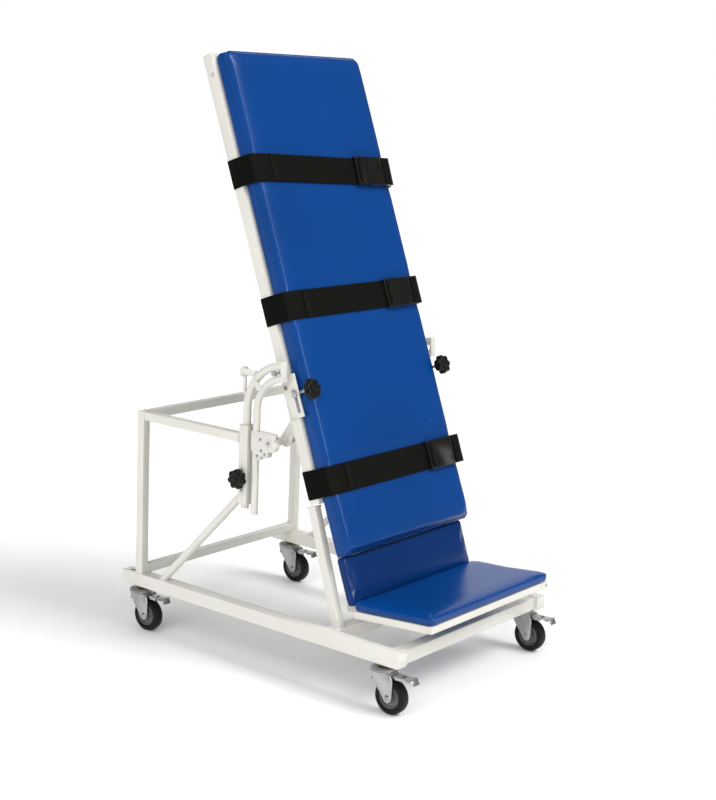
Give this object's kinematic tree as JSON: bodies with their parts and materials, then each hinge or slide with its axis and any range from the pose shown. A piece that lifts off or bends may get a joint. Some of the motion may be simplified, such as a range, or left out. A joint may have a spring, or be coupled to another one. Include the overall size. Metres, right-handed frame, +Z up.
{
  "type": "physiotherapy tilt table",
  "caption": "Child-size physiotherapy tilt table: white tube frame on braked casters, blue upholstered top tilted upright on a curved guide, padded footplate, restraint straps.",
  "frame": {"origin": "on the floor, under the middle of the whole outline", "axes": "+Z up, +X across the table to its right as seen from the footplate side, -Y towards the patient side and the footplate, +Y towards the rear frame"},
  "size_m": [0.6068, 0.8532, 1.3332],
  "materials": {
    "white_paint": "semi-gloss powder coat",
    "zinc": "bright zinc",
    "brass_stem": "yellow passivated",
    "tyre_rubber": "matt",
    "rim_plastic": "satin",
    "black_plastic": "satin",
    "blue_vinyl": "soft sheen upholstery vinyl",
    "board": "vinyl-covered plywood",
    "webbing": "woven black",
    "dark_steel": "dark zinc"
  },
  "bodies": {
    "base": {"left_base_rail": "white_paint", "right_base_rail": "white_paint", "base_cross_tubes": "white_paint", "rear_uprights": "white_paint", "rear_cross_tubes": "white_paint", "side_top_tubes": "white_paint", "left_post": "white_paint", "right_post": "white_paint", "brace_tubes": "white_paint", "front_legs": "white_paint", "caster_stems": "brass_stem"},
    "front_left_caster": {"front_left_fork": "zinc"},
    "front_left_wheel": {"front_left_rim": "rim_plastic", "front_left_tyre": "tyre_rubber"},
    "front_left_pedal": {"front_left_brake_pedal": "zinc"},
    "front_right_caster": {"front_right_fork": "zinc"},
    "front_right_wheel": {"front_right_rim": "rim_plastic", "front_right_tyre": "tyre_rubber"},
    "front_right_pedal": {"front_right_brake_pedal": "zinc"},
    "rear_left_caster": {"rear_left_fork": "zinc"},
    "rear_left_wheel": {"rear_left_rim": "rim_plastic", "rear_left_tyre": "tyre_rubber"},
    "rear_left_pedal": {"rear_left_brake_pedal": "zinc"},
    "rear_right_caster": {"rear_right_fork": "zinc"},
    "rear_right_wheel": {"rear_right_rim": "rim_plastic", "rear_right_tyre": "tyre_rubber"},
    "rear_right_pedal": {"rear_right_brake_pedal": "zinc"},
    "carriage": {"left_quadrant": "white_paint", "right_quadrant": "white_paint", "pivot_brackets": "white_paint", "bracket_bolts": "dark_steel", "pivot_cross_tube": "white_paint", "pivot_lugs": "white_paint", "pivot_pins": "zinc", "clamp_nuts": "zinc"},
    "table": {"side_rails": "white_paint", "table_cross_tubes": "white_paint", "pad_board": "board", "main_pad": "blue_vinyl", "lower_pad": "blue_vinyl", "foot_frame": "white_paint", "foot_pad": "blue_vinyl", "accessory_brackets": "white_paint", "bracket_screws": "dark_steel", "roller_pins": "zinc", "upper_strap_band": "webbing", "middle_strap_band": "webbing", "lower_strap_band": "webbing", "buckle_sockets": "black_plastic"},
    "left_clamp_knob": {"left_post_knob": "black_plastic"},
    "left_stud": {"left_bracket_stud": "zinc"},
    "left_knob": {"left_bracket_knob": "black_plastic"},
    "left_roller": {"left_guide_roller": "black_plastic"},
    "right_clamp_knob": {"right_post_knob": "black_plastic"},
    "right_stud": {"right_bracket_stud": "zinc"},
    "right_knob": {"right_bracket_knob": "black_plastic"},
    "right_roller": {"right_guide_roller": "black_plastic"},
    "upper_plug": {"upper_buckle_plug": "black_plastic"},
    "middle_plug": {"middle_buckle_plug": "black_plastic"},
    "lower_plug": {"lower_buckle_plug": "black_plastic"}
  },
  "joints": [
    {"name": "front_left_swivel", "type": "hinge", "parent": "base", "child": "front_left_caster", "pos_m": [-0.263, -0.33731, 0.0886], "axis": [0, 0, 1], "continuous": true},
    {"name": "front_left_spin", "type": "hinge", "parent": "front_left_caster", "child": "front_left_wheel", "pos_m": [-0.263, -0.36231, 0.0375], "axis": [1, 0, 0], "continuous": true},
    {"name": "front_left_brake", "type": "hinge", "parent": "front_left_caster", "child": "front_left_pedal", "pos_m": [-0.263, -0.36131, 0.0857], "axis": [1, 0, 0], "range_deg": [0, 14]},
    {"name": "front_right_swivel", "type": "hinge", "parent": "base", "child": "front_right_caster", "pos_m": [0.263, -0.33731, 0.0886], "axis": [0, 0, 1], "continuous": true},
    {"name": "front_right_spin", "type": "hinge", "parent": "front_right_caster", "child": "front_right_wheel", "pos_m": [0.263, -0.36231, 0.0375], "axis": [1, 0, 0], "continuous": true},
    {"name": "front_right_brake", "type": "hinge", "parent": "front_right_caster", "child": "front_right_pedal", "pos_m": [0.263, -0.36131, 0.0857], "axis": [1, 0, 0], "range_deg": [0, 14]},
    {"name": "rear_left_swivel", "type": "hinge", "parent": "base", "child": "rear_left_caster", "pos_m": [-0.263, 0.37869, 0.0886], "axis": [0, 0, 1], "continuous": true},
    {"name": "rear_left_spin", "type": "hinge", "parent": "rear_left_caster", "child": "rear_left_wheel", "pos_m": [-0.263, 0.35369, 0.0375], "axis": [1, 0, 0], "continuous": true},
    {"name": "rear_left_brake", "type": "hinge", "parent": "rear_left_caster", "child": "rear_left_pedal", "pos_m": [-0.263, 0.35469, 0.0857], "axis": [1, 0, 0], "range_deg": [0, 14]},
    {"name": "rear_right_swivel", "type": "hinge", "parent": "base", "child": "rear_right_caster", "pos_m": [0.263, 0.37869, 0.0886], "axis": [0, 0, 1], "continuous": true},
    {"name": "rear_right_spin", "type": "hinge", "parent": "rear_right_caster", "child": "rear_right_wheel", "pos_m": [0.263, 0.35369, 0.0375], "axis": [1, 0, 0], "continuous": true},
    {"name": "rear_right_brake", "type": "hinge", "parent": "rear_right_caster", "child": "rear_right_pedal", "pos_m": [0.263, 0.35469, 0.0857], "axis": [1, 0, 0], "range_deg": [0, 14]},
    {"name": "carriage_height", "type": "slide", "parent": "base", "child": "carriage", "axis": [0, 0, 1], "range_m": [0, 0.016]},
    {"name": "table_tilt", "type": "hinge", "parent": "carriage", "child": "table", "pos_m": [0, -0.04931, 0.57502], "axis": [1, 0, 0], "range_deg": [-69.5, 0]},
    {"name": "left_clamp_turn", "type": "hinge", "parent": "carriage", "child": "left_clamp_knob", "pos_m": [-0.288, 0.05769, 0.42302], "axis": [-1, 0, 0], "range_deg": [0, 720]},
    {"name": "left_stud_slide", "type": "slide", "parent": "table", "child": "left_stud", "axis": [0, 0.3502, 0.9367], "range_m": [-0.034, 0]},
    {"name": "left_knob_turn", "type": "hinge", "parent": "left_stud", "child": "left_knob", "pos_m": [-0.2346, -0.0908, 0.63537], "axis": [0, -0.9367, 0.3502], "range_deg": [0, 720]},
    {"name": "left_roller_spin", "type": "hinge", "parent": "table", "child": "left_roller", "pos_m": [-0.2655, -0.01691, 0.66166], "axis": [1, 0, 0], "continuous": true},
    {"name": "right_clamp_turn", "type": "hinge", "parent": "carriage", "child": "right_clamp_knob", "pos_m": [0.288, 0.05769, 0.42302], "axis": [1, 0, 0], "range_deg": [0, 720]},
    {"name": "right_stud_slide", "type": "slide", "parent": "table", "child": "right_stud", "axis": [0, 0.3502, 0.9367], "range_m": [-0.034, 0]},
    {"name": "right_knob_turn", "type": "hinge", "parent": "right_stud", "child": "right_knob", "pos_m": [0.2346, -0.0908, 0.63537], "axis": [0, -0.9367, 0.3502], "range_deg": [0, 720]},
    {"name": "right_roller_spin", "type": "hinge", "parent": "table", "child": "right_roller", "pos_m": [0.2655, -0.01691, 0.66166], "axis": [1, 0, 0], "continuous": true},
    {"name": "upper_buckle_release", "type": "slide", "parent": "table", "child": "upper_plug", "axis": [0.9989, -0.0165, -0.0441], "range_m": [0, 0.034]},
    {"name": "middle_buckle_release", "type": "slide", "parent": "table", "child": "middle_plug", "axis": [1, 0, 0], "range_m": [0, 0.034]},
    {"name": "lower_buckle_release", "type": "slide", "parent": "table", "child": "lower_plug", "axis": [1, 0, 0], "range_m": [0, 0.034]}
  ]
}
